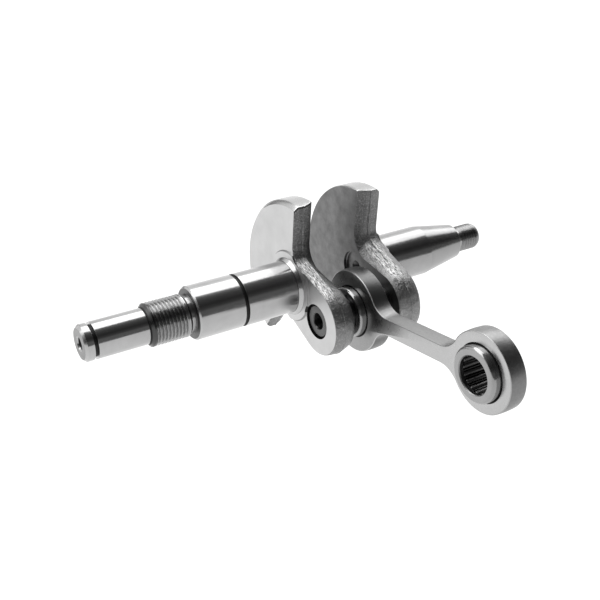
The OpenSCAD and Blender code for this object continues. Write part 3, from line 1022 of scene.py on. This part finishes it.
# brightness of the paper along Y, as parts of FLOOR_SPAN
FLOOR_STEPS = [
    (0.0, 0.99),
    (0.16, 0.99),
    (0.30, 1.02),
    (0.36, 1.09),
    (0.42, 1.16),
    (0.60, 1.22),
    (1.0, 1.22),
]


def stage():
    """Pale paper floor that glows a little, more so away from the camera."""
    n = Nodes("floor_paper", 0.12, 0.0, 0.9)
    n.bsdf.inputs["Specular IOR Level"].default_value = 0.0
    sep = n.add("ShaderNodeSeparateXYZ")
    n.link(n.coords, sep.inputs[0])
    fac = n.math("ADD", n.math("DIVIDE", sep.outputs[1], FLOOR_SPAN), 0.4)
    n.set("Emission Color", n.ramp(fac, [(pos, (v - 0.1) / FLOOR_GLOW) for pos, v in FLOOR_STEPS]))
    n.bsdf.inputs["Emission Strength"].default_value = FLOOR_GLOW
    corners = [(x, y, FLOOR_Z) for y in (FLOOR_NEAR, FLOOR_FAR) for x in FLOOR_X]
    mesh = bpy.data.meshes.new("floor")
    mesh.from_pydata(corners, [], [(0, 1, 3, 2)])
    mesh.materials.append(n.mat)
    floor = bpy.data.objects.new("floor", mesh)
    bpy.context.scene.collection.objects.link(floor)


# brightness of the studio by degrees about the shaft: far horizon, overhead, near horizon, below
STUDIO = [
    (0, 1.35),
    (21, 1.15),
    (33, 1.15),
    (43, 1.25),
    (56, 1.5),
    (70, 0.9),
    (84, 0.35),
    (92, 0.25),
    (101, 0.2),
    (108, 0.14),
    (118, 0.08),
    (142, 0.035),
    (158, 0.07),
    (165, 0.16),
    (188, 0.16),
    (194, 0.75),
    (215, 0.85),
    (270, 1.1),
    (330, 1.4),
    (360, 1.35),
]


def world():
    """Soft studio with a dark card behind the camera and a small dark gap far off, low down.

    The camera itself sees plain white."""
    w = bpy.data.worlds.new("studio")
    bpy.context.scene.world = w
    w.use_nodes = True
    t = Tree(w.node_tree)
    studio = w.node_tree.nodes["Background"]
    sep = t.add("ShaderNodeSeparateXYZ")
    t.link(t.add("ShaderNodeTexCoord").outputs["Generated"], sep.inputs[0])
    turn = t.math("DIVIDE", t.math("ARCTAN2", sep.outputs["Z"], sep.outputs["Y"]), TAU)
    turn = t.math("WRAP", turn, 1.0, 0.0)
    across = t.math("MULTIPLY_ADD", sep.outputs["X"], 0.5, 0.5)
    gap_height = t.ramp(turn, [(0.0, 0.85), (0.10, 0.85), (0.15, 0.0), (1.0, 0.0)])
    gap_width = t.ramp(across, [(0.37, 0.0), (0.44, 1.0), (0.53, 1.0), (0.60, 0.0)])
    gap = t.math("MULTIPLY", gap_height, gap_width)
    t.link(t.ramp(turn, [(deg / 360, v) for deg, v in STUDIO]), studio.inputs["Color"])
    t.link(t.math("SUBTRACT", 1.0, gap), studio.inputs["Strength"])
    paper = t.add("ShaderNodeBackground")
    paper.inputs["Color"].default_value = (1, 1, 1, 1)
    pick = t.add("ShaderNodeMixShader")
    t.link(t.add("ShaderNodeLightPath").outputs["Is Camera Ray"], pick.inputs[0])
    t.link(studio.outputs[0], pick.inputs[1])
    t.link(paper.outputs[0], pick.inputs[2])
    t.link(pick.outputs[0], w.node_tree.nodes["World Output"].inputs["Surface"])


def panel(name, at, width, depth, watts):
    """A soft box facing straight down."""
    light = bpy.data.lights.new(name, "AREA")
    light.shape = "RECTANGLE"
    light.size, light.size_y = width, depth
    light.energy = watts
    obj = bpy.data.objects.new(name, light)
    obj.location = at
    bpy.context.scene.collection.objects.link(obj)


CAMERA_AT = (-137.244, -216.077, 89.881)
CAMERA_TURN = (69.1191, 4.1227, -31.7789)
LENS = 55.585


def camera():
    """Camera above the stub's end, looking along the shaft with the rod on the right."""
    cam = bpy.data.cameras.new("camera")
    cam.sensor_width = 36.0
    cam.lens = LENS
    cam.clip_start = 0.005
    obj = bpy.data.objects.new("camera", cam)
    obj.location = Vector(CAMERA_AT) * MM
    obj.rotation_euler = [math.radians(turn) for turn in CAMERA_TURN]
    bpy.context.scene.collection.objects.link(obj)
    bpy.context.scene.camera = obj


def build():
    """Every piece, in its place on its body."""
    clutch_shaft()
    flywheel_shaft()
    web(-1)
    web(1)
    crank_pin()
    connecting_rod()
    cup("big_end_cup_visual", PIN, 5.05, "big_end_cup")
    cup("small_end_cup_visual", SMALL, 4.8, "small_end_cup")
    needles("big_end", PIN, 5.72, 0.66)
    needles("small_end", SMALL, 5.595, 0.785)
    finish_cad_nodes()


build()
stage()
world()
camera()
panel("overhead_panel", (0.05, 0.105, 0.35), 1.2, 0.305, 2.6)
bpy.context.scene.view_settings.view_transform = "Standard"
